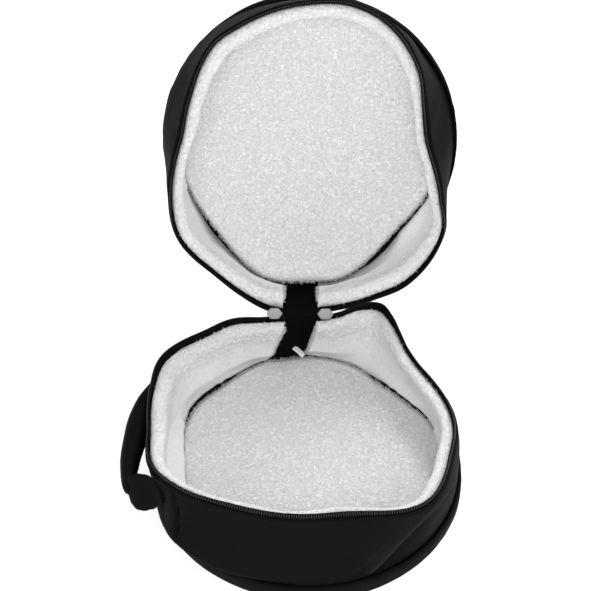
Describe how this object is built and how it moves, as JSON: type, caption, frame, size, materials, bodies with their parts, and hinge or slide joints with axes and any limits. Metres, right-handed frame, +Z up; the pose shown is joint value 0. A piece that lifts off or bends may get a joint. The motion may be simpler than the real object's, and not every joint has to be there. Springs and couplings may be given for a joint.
{
  "type": "soft drum case",
  "caption": "Round padded soft case for a drum, open, with a fleece-lined base and lid joined by a cloth hinge strip, a zip round the rims and a carry handle.",
  "frame": {"origin": "centre of the base's flat underside", "axes": "+Z up through the open base, +Y to the cloth hinge and the lid, +X right as seen from the front, the handle on -X"},
  "size_m": [0.4445, 0.664, 0.5035],
  "materials": {
    "side_nylon": "black woven nylon with a slight sheen",
    "edge_nylon": "black woven nylon over foam",
    "handle_nylon": "black woven nylon, padded",
    "wall_fleece": "white sherpa fleece",
    "pad_fleece": "white sherpa fleece, short curl",
    "webbing": "black webbing and binding",
    "zip_tape": "black woven zip tape",
    "zip_coil": "black moulded coil",
    "slider_metal": "satin grey metal, bare",
    "label_cloth": "white woven tag, bare"
  },
  "bodies": {
    "root": {"base_bottom_panel": "edge_nylon", "base_piping": "webbing", "base_side_panel": "side_nylon", "base_wall_lining": "wall_fleece", "base_floor_binding": "webbing", "base_floor_pad": "pad_fleece", "base_zip_tape": "zip_tape", "base_zip_coil": "zip_coil", "lid_top_panel": "edge_nylon", "lid_piping": "webbing", "lid_side_panel": "side_nylon", "lid_wall_lining": "wall_fleece", "lid_ceiling_binding": "webbing", "lid_ceiling_pad": "pad_fleece", "lid_zip_tape": "zip_tape", "lid_zip_coil": "zip_coil", "hinge_strip": "webbing", "zip_slider_left": "slider_metal", "zip_slider_right": "slider_metal", "care_label": "label_cloth", "handle_grip": "handle_nylon", "handle_tab_front": "handle_nylon", "handle_tab_rear": "handle_nylon"}
  },
  "joints": []
}
